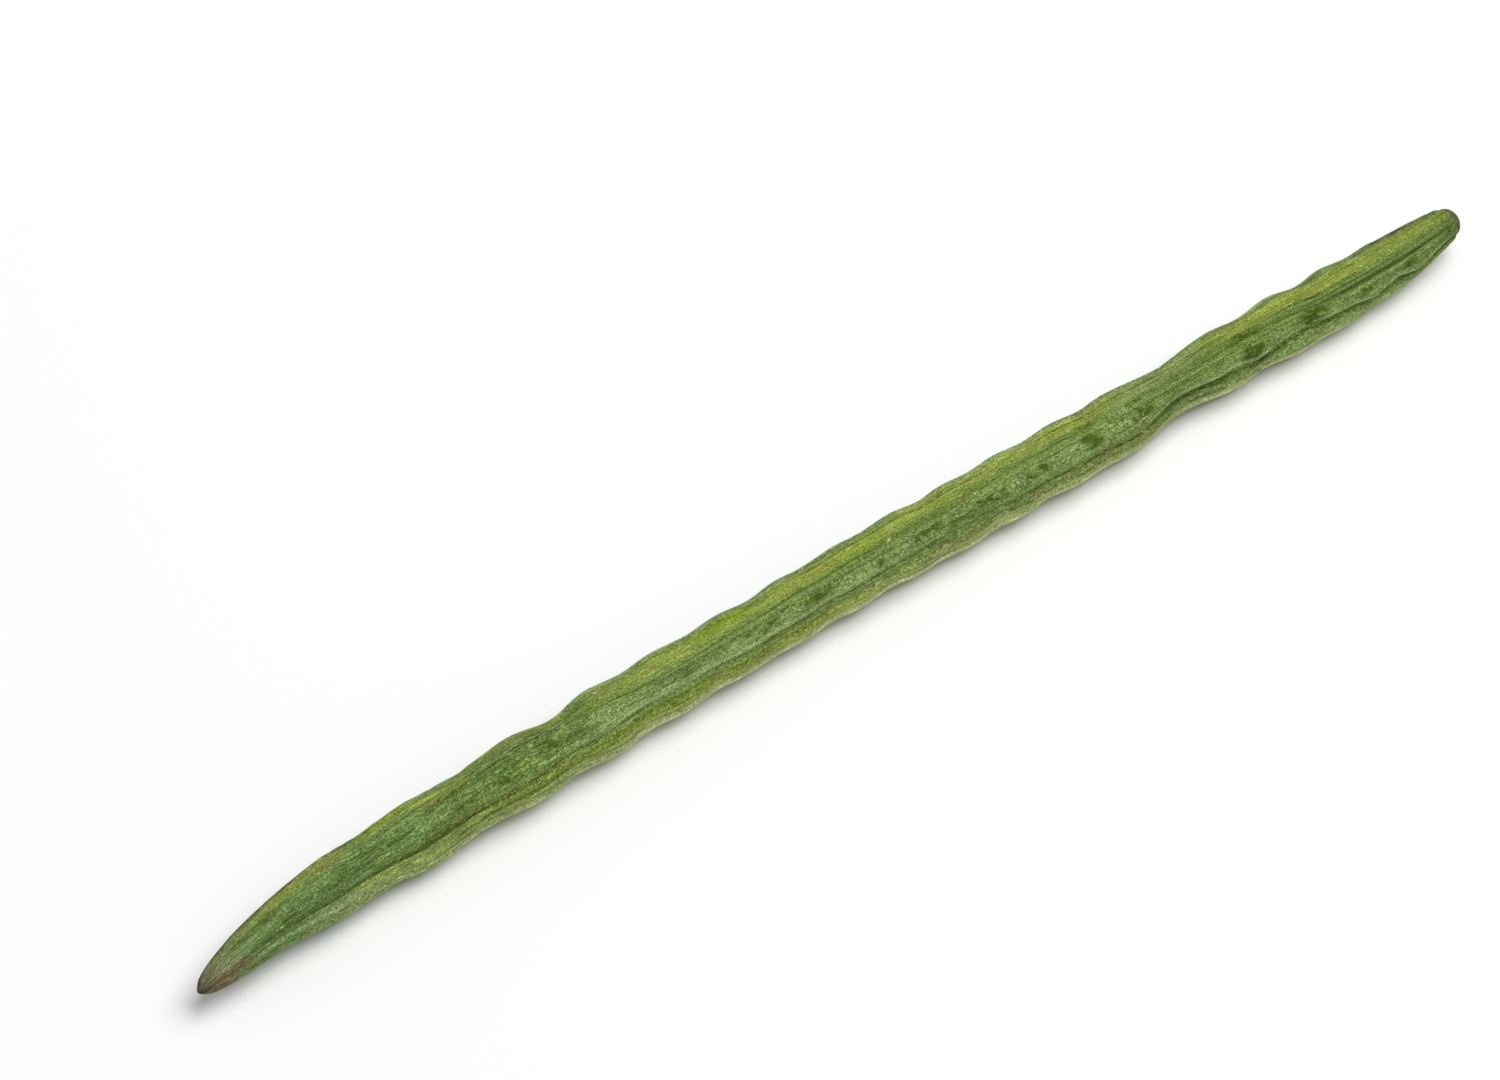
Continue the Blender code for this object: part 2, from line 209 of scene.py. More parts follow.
# Soft marks on the skin. Each is: from station, to station, angle, half its width in mm, strength.
# The angles turn slowly with the ribs.
podMarks = {
    # pale bloom; the marks at angles near 170 to 190 lie along the lower side and are painted light
    # that brightens it
    "paleAndLowerSideLight": [
        (14, 44, 170, 3.0, 0.5), (34, 68, 178, 4.4, 1.2), (60, 130, 178, 3.6, 1.2),
        (116, 206, 127, 5.0, 0.7), (200, 336, 129, 4.8, 0.7), (126, 448, 182, 3.8, 0.8),
        (312, 350, 84, 4.0, 0.6), (336, 446, 127, 4.5, 0.4), (330, 448, 176, 3.6, 1.2),
        (120, 340, 42, 2.6, 0.8), (60, 130, 88, 3.4, 0.4), (60, 440, 250, 4.0, 0.5),
        (60, 440, 8, 4.0, 0.5), (300, 448, 190, 3.6, 1.4), (240, 322, 186, 3.2, 0.7),
        (316, 352, 60, 3.4, 0.8), (2, 30, 120, 5.0, 0.6), (6, 30, 66, 3.4, 0.6),
    ],
    # a painted highlight as a thin pale line along the lower edge, and the like on the hidden valves
    "paleLinesAndRimHighlight": [
        (78, 130, 206, 1.2, 0.7), (126, 336, 203, 1.7, 1.0), (334, 446, 199, 1.5, 0.9),
        (380, 446, 95, 0.5, 0.4), (396, 446, 111, 0.6, 0.4), (60, 440, 165, 0.4, 0.3),
        (100, 400, 322, 1.0, 0.6),
    ],
    # a soft dark green shade
    "shade": [
        (17, 52, 139, 1.8, 1.0), (26, 58, 118, 1.0, 0.7), (14, 30, 106, 0.7, 0.6),
        (44, 62, 127, 2.4, 0.9), (84, 112, 100, 0.9, 0.8), (112, 130, 118, 1.4, 0.9),
        (100, 112, 112, 0.8, 0.8), (118, 134, 126, 1.0, 0.7), (66, 84, 116, 1.0, 0.6),
        (70, 110, 134, 0.9, 0.8), (84, 96, 124, 1.0, 0.8), (56, 66, 104, 0.8, 0.6),
        (130, 150, 142, 0.9, 0.6), (126, 440, 194, 0.5, 0.3), (30, 90, 266, 1.6, 0.7),
        (200, 300, 330, 1.2, 0.6), (34, 86, 149, 0.8, 1.0), (54, 86, 144, 2.6, 0.6),
        (30, 58, 146, 2.4, 0.35), (12, 34, 96, 0.7, 0.7), (8, 24, 122, 0.6, 0.6),
        # short dark strokes
        (28, 30.6, 129, 0.8, 1.3), (31.5, 38, 148, 0.7, 1.4), (43, 47.6, 127, 0.7, 1.3),
        (47.5, 53.5, 117, 2.0, 1.1), (23.5, 27.6, 99, 0.8, 1.3), (65, 67, 128, 0.7, 1.3),
        (93, 103, 120, 0.6, 1.4), (100.5, 105.6, 121, 0.9, 1.4), (114, 118.8, 102, 0.8, 1.4),
        (114.6, 119.6, 128, 0.8, 1.3), (40, 46, 139, 0.7, 1.2), (18, 21, 134, 0.7, 1.2),
        (72, 78, 140, 0.7, 1.1), (56, 61, 108, 0.7, 1.1), (106, 110, 94, 0.6, 1.2),
    ],
    # a dull brown edge along the outline at both ends, partly painted shade along the edges
    "brownAndEdgeShade": [
        (0, 28, 50, 2.0, 1.0), (20, 44, 50, 1.7, 0.8), (36, 64, 48, 1.4, 0.65),
        (410, 434, 17, 1.4, 0.65), (426, 449.8, 17, 2.0, 0.9), (426, 448, 189, 2.4, 0.9),
        (1, 16, 214, 2.6, 0.5),
    ],
    # where long fine lines stand out more than the grain does
    "lined": [
        (60, 448, 72, 5.0, 1.0), (54, 448, 180, 4.5, 1.0), (126, 446, 104, 3.0, 0.9),
        (30, 448, 240, 5.0, 0.8), (30, 448, 300, 5.0, 0.8), (30, 448, 0, 5.0, 0.8),
    ],
    "yellow": [
        (14, 56, 64, 4.6, 0.62), (10, 54, 86, 1.6, 0.4), (56, 82, 58, 4.4, 0.9),
        (76, 94, 82, 1.9, 0.9), (96, 130, 50, 3.0, 0.5), (134, 196, 75, 3.2, 0.8),
        (150, 190, 92, 1.0, 0.6), (188, 262, 74, 3.2, 1.0), (240, 320, 65, 3.4, 1.0),
        (312, 354, 66, 2.6, 0.35), (350, 447, 62, 3.3, 0.9), (50, 120, 172, 3.2, 0.65),
        (112, 165, 176, 3.2, 0.7), (150, 240, 174, 2.6, 0.75), (235, 445, 178, 2.2, 0.5),
        (20, 200, 292, 4.5, 0.7), (190, 440, 288, 4.0, 0.9), (60, 440, 222, 3.0, 0.4),
        (90, 430, 352, 3.4, 0.7),
    ],
    "moss": [
        (92, 142, 163, 1.9, 0.75), (136, 172, 160, 1.7, 0.8), (170, 214, 160, 1.3, 0.6),
        (60, 84, 14, 2.4, 0.7), (22, 36, 91, 0.9, 0.5), (232, 256, 107, 1.5, 0.35),
        (168, 190, 74, 2.1, 0.5), (290, 330, 300, 2.0, 0.6), (120, 150, 262, 2.0, 0.6),
    ],
    "bright": [
        (175, 189, 73, 2.2, 1.3), (168, 176, 76, 1.8, 1.2), (214, 236, 82, 1.8, 0.45),
        (60, 80, 52, 2.0, 0.6), (240, 262, 290, 2.0, 0.9), (120, 140, 295, 1.8, 0.6),
        (300, 330, 354, 2.0, 0.7),
    ],
    # pale olive; the marks near angle 200 lie along the lower edge and are painted light that
    # brightens it
    "oliveAndLowerEdgeLight": [
        (44, 132, 200, 4.0, 0.85), (118, 262, 202, 4.0, 0.8), (250, 446, 198, 4.4, 0.95),
        (318, 352, 62, 3.0, 0.5), (60, 448, 262, 3.0, 0.5), (40, 448, 338, 3.0, 0.5),
    ],
    "blotch": [
        (159.8, 167.2, 127, 1.9, 0.65), (181.5, 194.5, 127, 1.6, 0.6), (203, 213, 127, 1.6, 0.85),
        (226.6, 230.6, 127, 1.3, 0.75), (241, 252, 121, 1.2, 0.8), (252, 264, 129, 1.9, 0.55),
        (262, 274, 125, 1.7, 1.1), (280, 290, 121, 1.4, 1.0), (300, 308.6, 121, 2.3, 0.95),
        (318.8, 327.4, 121, 1.7, 1.05), (350, 354.6, 115, 1.5, 0.45), (360.4, 369, 121, 2.4, 1.1),
        (381, 392.6, 115, 2.6, 1.15), (402.6, 410, 121, 1.8, 0.9), (422.8, 427.4, 121, 1.6, 1.5),
        (441.6, 443.6, 121, 0.8, 1.3), (319, 326, 93, 0.9, 0.5), (360, 370, 84, 1.3, 0.65),
        (301, 308, 88, 0.8, 0.5), (383, 393, 79, 0.9, 0.6), (28, 34, 132, 0.9, 0.6),
        (113, 122, 109, 1.3, 0.7), (118, 128, 115, 1.2, 0.55), (84, 92, 127, 0.8, 0.5),
        (99, 107, 127, 0.8, 0.7), (63, 71, 116, 1.2, 0.45), (76, 82, 104, 0.8, 0.45),
    ],
    "brown": [
        (64, 96, 150, 0.6, 0.9), (79, 88, 148, 0.9, 1.0), (88, 118, 152, 0.8, 0.8),
        (104, 126, 157, 0.9, 0.6), (22, 32, 92, 0.8, 0.8), (42, 53, 82, 2.0, 0.9),
        (32, 44, 190, 1.2, 0.8), (79, 88, 90, 1.2, 0.7), (107, 116, 54, 1.4, 0.6),
        (135, 148, 64, 1.3, 0.7), (205, 228, 162, 1.1, 0.8), (240, 264, 166, 1.6, 0.9),
        (262, 299, 161, 1.1, 0.8), (296, 326, 161, 1.6, 1.0), (255, 277, 96, 0.7, 0.6),
        (244, 262, 62, 1.6, 0.5), (282, 290, 60, 1.4, 0.45), (304, 315, 50, 2.2, 0.6),
        (226, 231, 127, 1.0, 0.7), (436, 447, 100, 0.6, 0.4), (120, 190, 231, 0.8, 0.6),
        (260, 330, 268, 1.2, 0.7), (350, 420, 310, 1.0, 0.6), (70, 120, 346, 0.9, 0.6),
    ],
    "rust": [
        (2, 16, 160, 3.6, 1.0), (2, 11, 196, 3.0, 0.8), (3, 10, 330, 2.5, 0.7),
        (3, 9, 96, 1.6, 0.7),
    ],
    "cream": [
        (25.2, 28.6, 139, 0.35, 0.6), (20.5, 23.0, 156, 0.4, 0.6), (32.4, 36.8, 173, 0.4, 0.75),
        (39.0, 43.0, 170, 0.4, 0.9), (42.0, 45.6, 176, 0.4, 0.7), (48.2, 49.6, 174, 0.5, 0.9),
        (234.2, 236.0, 98, 0.35, 0.9), (264.7, 266.4, 99, 0.4, 0.9), (280.9, 282.3, 128, 0.4, 0.8),
        (136.4, 139.0, 64, 0.7, 0.7), (224.6, 228, 160, 0.4, 0.8), (164.2, 166.4, 74, 0.5, 0.6),
        (320.4, 324.4, 132, 0.5, 0.6), (319.4, 321, 192, 0.5, 0.6),
    ],
    # places where short pale dashes lie close together
    "dashed": [
        (92, 126, 84, 1.8, 1.0), (204, 228, 161, 1.3, 0.6), (240, 264, 168, 1.8, 0.7),
        (262, 326, 162, 1.6, 0.8), (316, 350, 92, 1.6, 0.6), (350, 372, 168, 1.6, 0.7),
        (380, 392, 80, 1.2, 0.7), (54, 92, 118, 3.0, 0.25), (130, 160, 118, 3.0, 0.25),
    ],
}

# The valves that face away have blotches as the front one does: one after each seed. Each measure
# of them is drawn between two limits.
blotchHabit = {
    "randomSeed": 11,
    "skippedSeeds": 3,
    "angles": (250, 8),
    "afterSeed": (4.0, 8.0),
    "halfLength": (2.5, 5.0),
    "halfWidth": (1.0, 2.0),
    "turn": (-6, 6),
    "strength": (0.5, 0.95),
}


def curveThrough(rows, column, station):
    # a smooth curve through all rows of a table
    stations = np.array([row[0] for row in rows])
    values = np.array([row[column] for row in rows])
    slopes = np.gradient(values, stations)
    i = np.clip(np.searchsorted(stations, station) - 1, 0, len(stations) - 2)
    gap = stations[i + 1] - stations[i]
    t = (station - stations[i]) / gap
    ease = t * t * (3 - 2 * t)
    leaving = gap * slopes[i] * t * (1 - t) ** 2
    arriving = gap * slopes[i + 1] * t * t * (t - 1)
    return values[i] * (1 - ease) + values[i + 1] * ease + leaving + arriving


def strengthAlong(rows, station):
    return np.clip(curveThrough(rows, 1, station), 0.0, 1.0)


def bell(distance, width):
    # 1 at no distance, and next to nothing past two widths
    return np.exp(-(distance / width) ** 2)


def roundingOver(distance, reach, fullness):
    share = np.clip(distance / reach, 0.0, 1.0)
    return (1 - (1 - share) ** fullness) ** (1 / fullness)


def fullRadius(station):
    radius = curveThrough(podForm["fullRadius"], 1, station)
    radius = radius * roundingOver(station, *podForm["tipRounding"])
    radius = radius * roundingOver(podForm["length"] - station, *podForm["stalkRounding"])
    onScar = station > podForm["scarStation"]
    radius = np.where(onScar, np.maximum(radius, podForm["pitRadius"]), radius)
    edge = bell(station - podForm["scarStation"], podForm["scarEdgeWidth"])
    return radius - podForm["scarEdgeDepth"] * edge


def waistShape(station):
    # how far each ring is into a waist, how deep that waist is, and which side of it is deeper
    share = np.zeros_like(station)
    depth = np.zeros_like(station)
    deeperSide = np.zeros_like(station)
    seeds = podForm["seeds"]
    for i in range(len(seeds) - 1):
        start, thisDepth = seeds[i]
        end = seeds[i + 1][0]
        side = podForm["firstLeanAngle"] + 360.0 * i / podForm["valves"]
        inside = (station > start) & (station < end)
        share = np.where(inside, np.sin(np.pi * (station - start) / (end - start)) ** 2, share)
        depth = np.where(inside, thisDepth, depth)
        deeperSide = np.where(inside, side, deeperSide)
    return share, depth, deeperSide


def reliefShare(station):
    # relief is lower at the slim ends, and there is none on the scar
    fade = np.clip((podForm["scarStation"] - station) / podForm["scarEdgeWidth"], 0.0, 1.0)
    return np.minimum(fullRadius(station) / podForm["fullReliefRadius"], 1.0) * fade


def groovePath(groove, stations):
    # the angle of one groove all along the pod
    angles = podForm["grooveAngles"]
    turns, own = divmod(groove, len(angles))
    degrees, wave, apart, level = podDetail["grooveWander"]
    wander = [noise.noise(Vector((s / wave, own * apart, level))) for s in stations]
    path = angles[own] + 360.0 * turns + curveThrough(podForm["twist"], 1, stations)
    path = path + degrees * np.array(wander)
    if own in podDetail["grooveSway"]:
        path = path + curveThrough(podDetail["grooveSway"][own], 1, stations)
    return path


def straightPlaces(station, rib, across):
    # where each point is on the straightened pod: station, sideways and up
    angles = np.array([*podForm["grooveAngles"], podForm["grooveAngles"][0] + 360.0])
    turn = np.radians(angles[rib] + (angles[rib + 1] - angles[rib]) * across)
    radius = podDetail["straightRadius"]
    return np.stack(np.broadcast_arrays(station, radius * np.cos(turn), radius * np.sin(turn)), -1)


def streakField(places, length, width, slant, shift):
    # noise drawn out along the straightened pod
    field = [
        noise.noise(Vector(((x + slant * y) / length + shift, y / width, z / width)))
        for x, y, z in places.reshape(-1, 3)
    ]
    return np.array(field).reshape(places.shape[:-1])


def fineRelief(station, places, waistShare):
    fields = {}
    for i, (name, (height, *drawnOut)) in enumerate(podDetail["streaks"].items()):
        fields[name] = height * streakField(places, *drawnOut, podDetail["streaksApart"] * i)
    overSeed = podDetail["wrinklesOverSeed"]
    fadeStation, fadeLength, least = podDetail["wrinkleFade"]
    fields["wrinkles"] *= overSeed + (1 - overSeed) * waistShare
    fields["wrinkles"] *= np.clip((fadeStation - station) / fadeLength, least, 1.0)
    return sum(fields.values())


def ribHollow(station, across, groove, toGroove, fromSeam):
    # how far the skin lies below the full radius: grooves, rounded ribs and three flatter sides
    valves = podForm["valves"]
    depth = np.where(groove % valves == 0, podForm["seamDepth"], podForm["furrowDepth"])
    depth = depth * (1 + podForm["deepening"] * (2 * station / podForm["length"] - 1))
    hollow = depth * bell(toGroove, podForm["grooveWidth"])
    hollow += podForm["ribHeight"] * (2 * across - 1) ** 2
    return hollow + podForm["threeSidedness"] * (1 + np.cos(valves * fromSeam)) / 2


def grooveTones(station, groove):
    # how strong the crease and the painted shade of the nearest groove are at every point
    ribs = len(podForm["grooveAngles"])
    tones = np.zeros(np.broadcast_shapes(station.shape, groove.shape))
    for g in range(ribs + 1):
        rows = podDetail["grooveTone"].get(g % ribs, podDetail["otherTone"])
        tones = np.where(groove == g, strengthAlong(rows, station), tones)
    return tones


def markField(marks, station, markAngle):
    # the strongest of these soft marks at every point
    field = np.zeros_like(markAngle)
    for start, end, angle, halfWidth, strength in marks:
        along = (station - (start + end) / 2) / ((end - start) / 2)
        turned = (markAngle - angle + 180.0) % 360.0 - 180.0
        across = np.radians(turned) * podDetail["straightRadius"] / halfWidth
        if end - start > podDetail["longMark"] * halfWidth:
            # a long mark keeps its width and fades over its ends
            distance = np.maximum(np.abs(along) ** 3, np.abs(across)) ** 2
        else:
            distance = along ** 2 + across ** 2
        field = np.maximum(field, strength * np.exp(-distance ** podDetail["markEdge"]))
    return field


def hiddenBlotches():
    random.seed(blotchHabit["randomSeed"])
    marks = []
    for seed in podForm["seeds"][blotchHabit["skippedSeeds"]:]:
        for angle in blotchHabit["angles"]:
            middle = seed[0] + random.uniform(*blotchHabit["afterSeed"])
            half = random.uniform(*blotchHabit["halfLength"])
            halfWidth = random.uniform(*blotchHabit["halfWidth"])
            turned = angle + random.uniform(*blotchHabit["turn"])
            strength = random.uniform(*blotchHabit["strength"])
            marks.append((middle - half, middle + half, turned, halfWidth, strength))
    return marks


def paintMasks(station, across, groove, toGroove, tones, markAngle):
    # how strongly each colour and mark shows at every point
    besideLip = (groove == podDetail["lipGroove"]) & (across > 0.5)
    lipFrom, lipWidth = podDetail["lipPlace"]
    lipAndHighlight = strengthAlong(podDetail["lipTone"], station) * bell(toGroove - lipFrom, lipWidth)
    crownWidth, crownRise = podDetail["crown"]
    collarStation, collarWidth = podDetail["collarPlace"]
    masks = {
        # painted shade in the grooves
        "grooveShade": tones * bell(toGroove, podDetail["grooveShadeWidth"]),
        "crown": np.clip(toGroove / crownWidth, 0.0, 1.0) ** crownRise,
        "lipAndHighlight": lipAndHighlight * besideLip,
        "collar": bell(station - collarStation, collarWidth),
    }
    for kind, marks in podMarks.items():
        masks[kind] = markField(marks, station, markAngle)
    onHiddenValves = markField(hiddenBlotches(), station, markAngle)
    masks["blotch"] = np.maximum(masks["blotch"], onHiddenValves)
    return {name: np.broadcast_to(mask, markAngle.shape) for name, mask in masks.items()}


def ringStations():
    length = podForm["length"]
    tip = podDetail["tipReach"] * np.linspace(0, 1, podDetail["tipRings"] + 1)[1:] ** 2
    stalkEnd = length - podDetail["stalkReach"] * np.linspace(1, 0, podDetail["stalkRings"]) ** 2
    body = np.linspace(tip[-1], stalkEnd[0], podDetail["bodyRings"] + 2)[1:-1]
    return np.concatenate([tip, body, stalkEnd])


def shapePod():
    # one row for each ring, and columns that go from rib to rib round the pod
    stations = ringStations()
    station = stations[:, None]
    ribs = len(podForm["grooveAngles"])
    ribPlace = np.arange(ribs * podDetail["pointsPerRib"]) / podDetail["pointsPerRib"]
    rib = ribPlace.astype(int)
    across = ribPlace - rib
    groove = np.where(across < 0.5, rib, rib + 1)  # the nearest one
    paths = np.stack([groovePath(g, stations) for g in range(ribs + 1)], 1)
    ribWidth = paths[:, rib + 1] - paths[:, rib]
    angle = paths[:, rib] + ribWidth * across
    fromSeam = np.radians(angle - paths[:, :1])
    places = straightPlaces(station, rib, across)
    print("ribs laid out")

    waistShare, waistDepth, deeperSide = waistShape(station)
    lean = 1 + podForm["waistLean"] * np.cos(np.radians(angle - deeperSide))
    radius = fullRadius(station) - waistDepth * lean * waistShare
    toGroove = np.minimum(across, 1 - across) * np.radians(ribWidth) * radius
    tones = grooveTones(station, groove)
    markAngle = angle - curveThrough(podForm["twist"], 1, station)
    masks = paintMasks(station, across, groove, toGroove, tones, markAngle)
    print("marks laid out")

    hollow = ribHollow(station, across, groove, toGroove, fromSeam)
    hollow += podDetail["creaseDepth"] * tones * bell(toGroove, podDetail["creaseWidth"])
    hollow += podDetail["blotchPit"] * masks["blotch"]
    hollow += podDetail["collarDepth"] * masks["collar"]
    hollow -= podDetail["lipHeight"] * masks["lipAndHighlight"] + fineRelief(station, places, waistShare)
    radius = radius - reliefShare(station) * hollow
    lineDepth, lineWidth = podDetail["scarLines"]
    onScar = np.clip((station - podForm["scarStation"]) / podForm["scarEdgeWidth"], 0.0, 1.0)
    radius = radius - onScar * lineDepth * bell(np.sin(podForm["valves"] / 2 * fromSeam), lineWidth)
    print("relief worked out")
    return stations, angle, radius, places, masks


def middleAt(station):
    line = podForm["middleLine"]
    return np.stack([
        station - podForm["length"] / 2,
        curveThrough(line, 1, station),
        curveThrough(line, 2, station),
    ], -1)


def ringPoints(stations, angle, radius):
    # rings square to the middle line
    along = middleAt(stations + 0.5) - middleAt(stations - 0.5)
    along /= np.linalg.norm(along, axis=1, keepdims=True)
    sideways = np.cross((0.0, 0.0, 1.0), along)
    sideways /= np.linalg.norm(sideways, axis=1, keepdims=True)
    upwards = np.cross(along, sideways)
    turn = np.radians(angle)[..., None]
    outwards = sideways[:, None] * np.cos(turn) + upwards[:, None] * np.sin(turn)
    return middleAt(stations)[:, None] + outwards * radius[..., None]


def addPit(rings, places):
    # the small pit in the stalk's scar: the last ring drawn in and down in steps
    length = podForm["length"]
    spread = rings[-1] - middleAt(np.array([length]))
    pitRings = []
    pitPlaces = []
    for step in range(1, podDetail["pitRings"] + 1):
        inwards = step / (podDetail["pitRings"] + 1)
        sunk = length - podForm["pitDepth"] * (1 - (1 - inwards) ** 2)
        pitRings.append(middleAt(np.array([sunk])) + spread * (1 - inwards))
        pitPlaces.append(places[-1] * np.array([1.0, 1 - inwards, 1 - inwards]))
    return np.concatenate([rings, pitRings]), np.concatenate([places, pitPlaces])


def plainTube(points, rings):
    # a straight closed cylinder with its rings 1 apart
    bm = bmesh.new()
    bmesh.ops.create_cone(
        bm, cap_ends=True, cap_tris=True, segments=points, radius1=1, radius2=1, depth=rings - 1
    )
    longEdges = [e for e in bm.edges if abs(e.verts[0].co.z - e.verts[1].co.z) > 0.5]
    bmesh.ops.subdivide_edges(bm, edges=longEdges, cuts=rings - 2, use_grid_fill=True)
    return bm


def addAttribute(mesh, name, kind, values):
    attribute = mesh.attributes.new(name, kind, "POINT")
    field = "vector" if kind == "FLOAT_VECTOR" else "value"
    attribute.data.foreach_set(field, values.astype(np.float32).ravel())


def buildPod():
    stations, angle, radius, places, masks = shapePod()
    rings, places = addPit(ringPoints(stations, angle, radius), places)
    count, points = rings.shape[:2]

    # which ring and which point of it each vertex of the plain tube becomes
    bm = plainTube(points, count)
    plain = np.array([v.co for v in bm.verts])
    ring = np.rint(plain[:, 2] + (count - 1) / 2).astype(int)
    turn = np.arctan2(-plain[:, 0], plain[:, 1]) / math.tau
    point = np.rint(turn * points).astype(int) % points
    coords = rings[ring, point]
    attributePlaces = places[ring, point]

    # the two poles stand on the middle line
    isPole = np.hypot(plain[:, 0], plain[:, 1]) < 0.5
    poles = np.where(plain[isPole, 2] < 0, 0.0, podForm["length"] - podForm["pitDepth"])
    coords[isPole] = middleAt(poles)
    attributePlaces[isPole] = np.outer(poles, (1.0, 0.0, 0.0))

    mesh = bpy.data.meshes.new("podSkin")
    bm.to_mesh(mesh)
    bm.free()
    # no point sinks into the floor or stands out of the solid's box
    coords = np.clip(coords * mm, np.array(cadLow), np.array(cadHigh))
    mesh.vertices.foreach_set("co", coords.astype(np.float32).ravel())
    addAttribute(mesh, "podPlace", "FLOAT_VECTOR", attributePlaces)
    skinRing = np.minimum(ring, len(stations) - 1)
    for name, mask in masks.items():
        addAttribute(mesh, name, "FLOAT", mask[skinRing, point])
    mesh.shade_smooth()
    mesh.update()
    obj = bpy.data.objects.new("podSkin", mesh)
    bpy.context.scene.collection.objects.link(obj)
    print("pod built:", len(mesh.vertices), "points")
    return obj


skinLook = {
    # colours as a screen shows them, from 0 to 255
    "colours": {
        "leaf": (96, 122, 46),
        "leafPale": (122, 146, 72),
        # bloom, also the colour of painted light on the lower side and of the painted highlight on
        # the lip
        "bloomAndPaintedLight": (152, 169, 114),
        "sage": (106, 136, 94),
        "yellow": (156, 166, 70),
        "moss": (106, 122, 26),
        "bright": (130, 156, 0),
        # pale olive, also painted light along the lower edge
        "oliveAndLowerEdgeLight": (164, 170, 112),
        "deep": (58, 82, 12),
        "blotch": (66, 84, 0),
        # painted shade in the grooves and the collar
        "grooveShade": (66, 88, 30),
        "brown": (100, 90, 30),
        "orange": (162, 146, 90),
        "rust": (106, 76, 58),
        # brown with painted shade along the edges of both ends
        "brownAndEdgeShade": (66, 64, 34),
        "husk": (156, 146, 112),
        "tip": (62, 48, 44),
        "cream": (188, 190, 144),
        "scar": (98, 92, 58),
    },
    # the studio shows the skin this much brighter than its colours
    "lightLevel": 1.15,
    # noise on the straightened pod: length along it and width across it in millimetres, detail,
    # and the part of its range that is spread out from 0 to 1
    "grain": {
        "clouds": (45.0, 9.0, 2.0, 0.35, 0.65),
        "patches": (8.0, 3.0, 3.0, 0.35, 0.65),
        "clumps": (2.6, 1.6, 2.0, 0.33, 0.67),
        "strands": (50.0, 0.75, 2.0, 0.35, 0.65),
        "threads": (7.0, 0.42, 2.0, 0.35, 0.65),
        "mottle": (0.95, 0.6, 2.0, 0.3, 0.7),
        "speckle": (0.5, 0.4, 1.0, 0.3, 0.7),
        "dashes": (3.4, 0.55, 2.0, 0.46, 0.68),
    },
    # each kind of mark: the noise that frays it and how far, the strengths at which it starts and
    # is full, and how much it then covers
    "marks": {
        "yellow": dict(colour="yellow", noise="strands", fray=0.4, low=0.05, high=1.0, cover=1.0),
        "oliveAndLowerEdgeLight": dict(colour="oliveAndLowerEdgeLight", noise="strands", fray=0.4, low=0.1, high=0.9, cover=0.75),
        "moss": dict(colour="moss", noise="strands", fray=0.5, low=0.1, high=0.9, cover=0.7),
        "bright": dict(colour="bright", noise="clumps", fray=0.5, low=0.1, high=0.8, cover=0.85),
        "shade": dict(colour="deep", noise="mottle", fray=0.6, low=0.1, high=0.9, cover=0.65),
        # painted shade in the grooves
        "grooveShade": dict(colour="grooveShade", noise="threads", fray=0.5, low=0.0, high=0.9, cover=0.7),
        "blotch": dict(colour="blotch", noise="mottle", fray=0.5, low=0.1, high=1.0, cover=0.95),
        "brown": dict(colour="brown", noise="clumps", fray=0.5, low=0.15, high=0.8, cover=0.8),
        "cream": dict(colour="cream", noise="mottle", fray=0.45, low=0.2, high=0.8, cover=1.0),
        # a painted highlight along the lower edge, and pale lines
        "paleLinesAndRimHighlight": dict(colour="cream", noise="threads", fray=0.4, low=0.1, high=1.0, cover=0.7),
        "brownAndEdgeShade": dict(colour="brownAndEdgeShade", noise="threads", fray=0.6, low=0.1, high=1.0, cover=0.8),
        "rust": dict(colour="rust", noise="dashes", fray=0.6, low=0.15, high=0.6, cover=0.9),
    },
    # how much each of the other layers covers
    "covers": {
        "clouds": 0.6, "threads": 0.3, "powder": 0.22, "lipAndHighlight": 0.85, "collar": 0.45, "orange": 0.9,
        "dashed": 0.5, "husk": 0.75, "tip": 0.9, "scar": 0.75,
    },
    # how much these cover where the noise or mask in their name is 0, and where it is 1
    "paleOverGrain": (0.32, 0.66),
    "fibresOverLined": (0.3, 0.62),
    "blotchOverClumps": (0.35, 1.75),
    # how far the husk and the dark point of the tip run along the streaks
    "tipStreaks": 6.0,
    # where a layer starts and is full, as stations or as strengths of its noise, and for sage also
    # how much it covers at each
    "ranges": {
        "sage": (130.0, 20.0, 0.0, 0.5),
        "grain": (0.3, 1.7),
        "darkFibres": (0.5, 1.0),
        "paleFibres": (0.5, 0.0),
        "powder": (0.4, 1.0),
        "brown": (0.0, 0.6),
        "orange": (0.5, 0.9),
        "dashed": (0.4, 0.9),
        "husk": (21.0, 6.0),
        "tip": (10.0, 4.0),
        "scar": (446.4, 447.0),
    },
    # light and dark over the colours: at 0 and 1 of such a noise or mask, or from station to station
    "gritOverLined": (0.72, 0.52),
    "lightOverSpeckle": (0.7, 1.3),
    "lightOverPatches": (0.9, 1.1),
    # painted light: the colours are brighter towards the tip, where the lamps leave it darker
    "paintedLightAlongPod": (30.0, 150.0, 1.2444, 1.0608),
    # the first third is crinkled: from station to station, and how strongly at each
    "crinkleAlongPod": (160.0, 100.0, 0.12, 0.45),
    "crinkleLevel": 0.4,
    # bump in metres, and the share of it that each noise has
    "bumpHeight": 0.0004,
    "bumpShares": {"threads": 0.5, "mottle": 0.7, "speckle": 0.3},
    "crinkleBump": 2.0,
    # roughness at 0 and 1 of the mottle, and how much smoother a blotch is
    "roughOverMottle": (0.52, 0.68),
    "blotchGloss": 0.1,
    "specular": 0.12,
}

# The inputs of the group that draws noise out along the pod, as they are before they are set.
streakInputs = {"Length": 10.0, "Width": 1.0, "Detail": 2.0, "Low": 0.35, "High": 0.65}


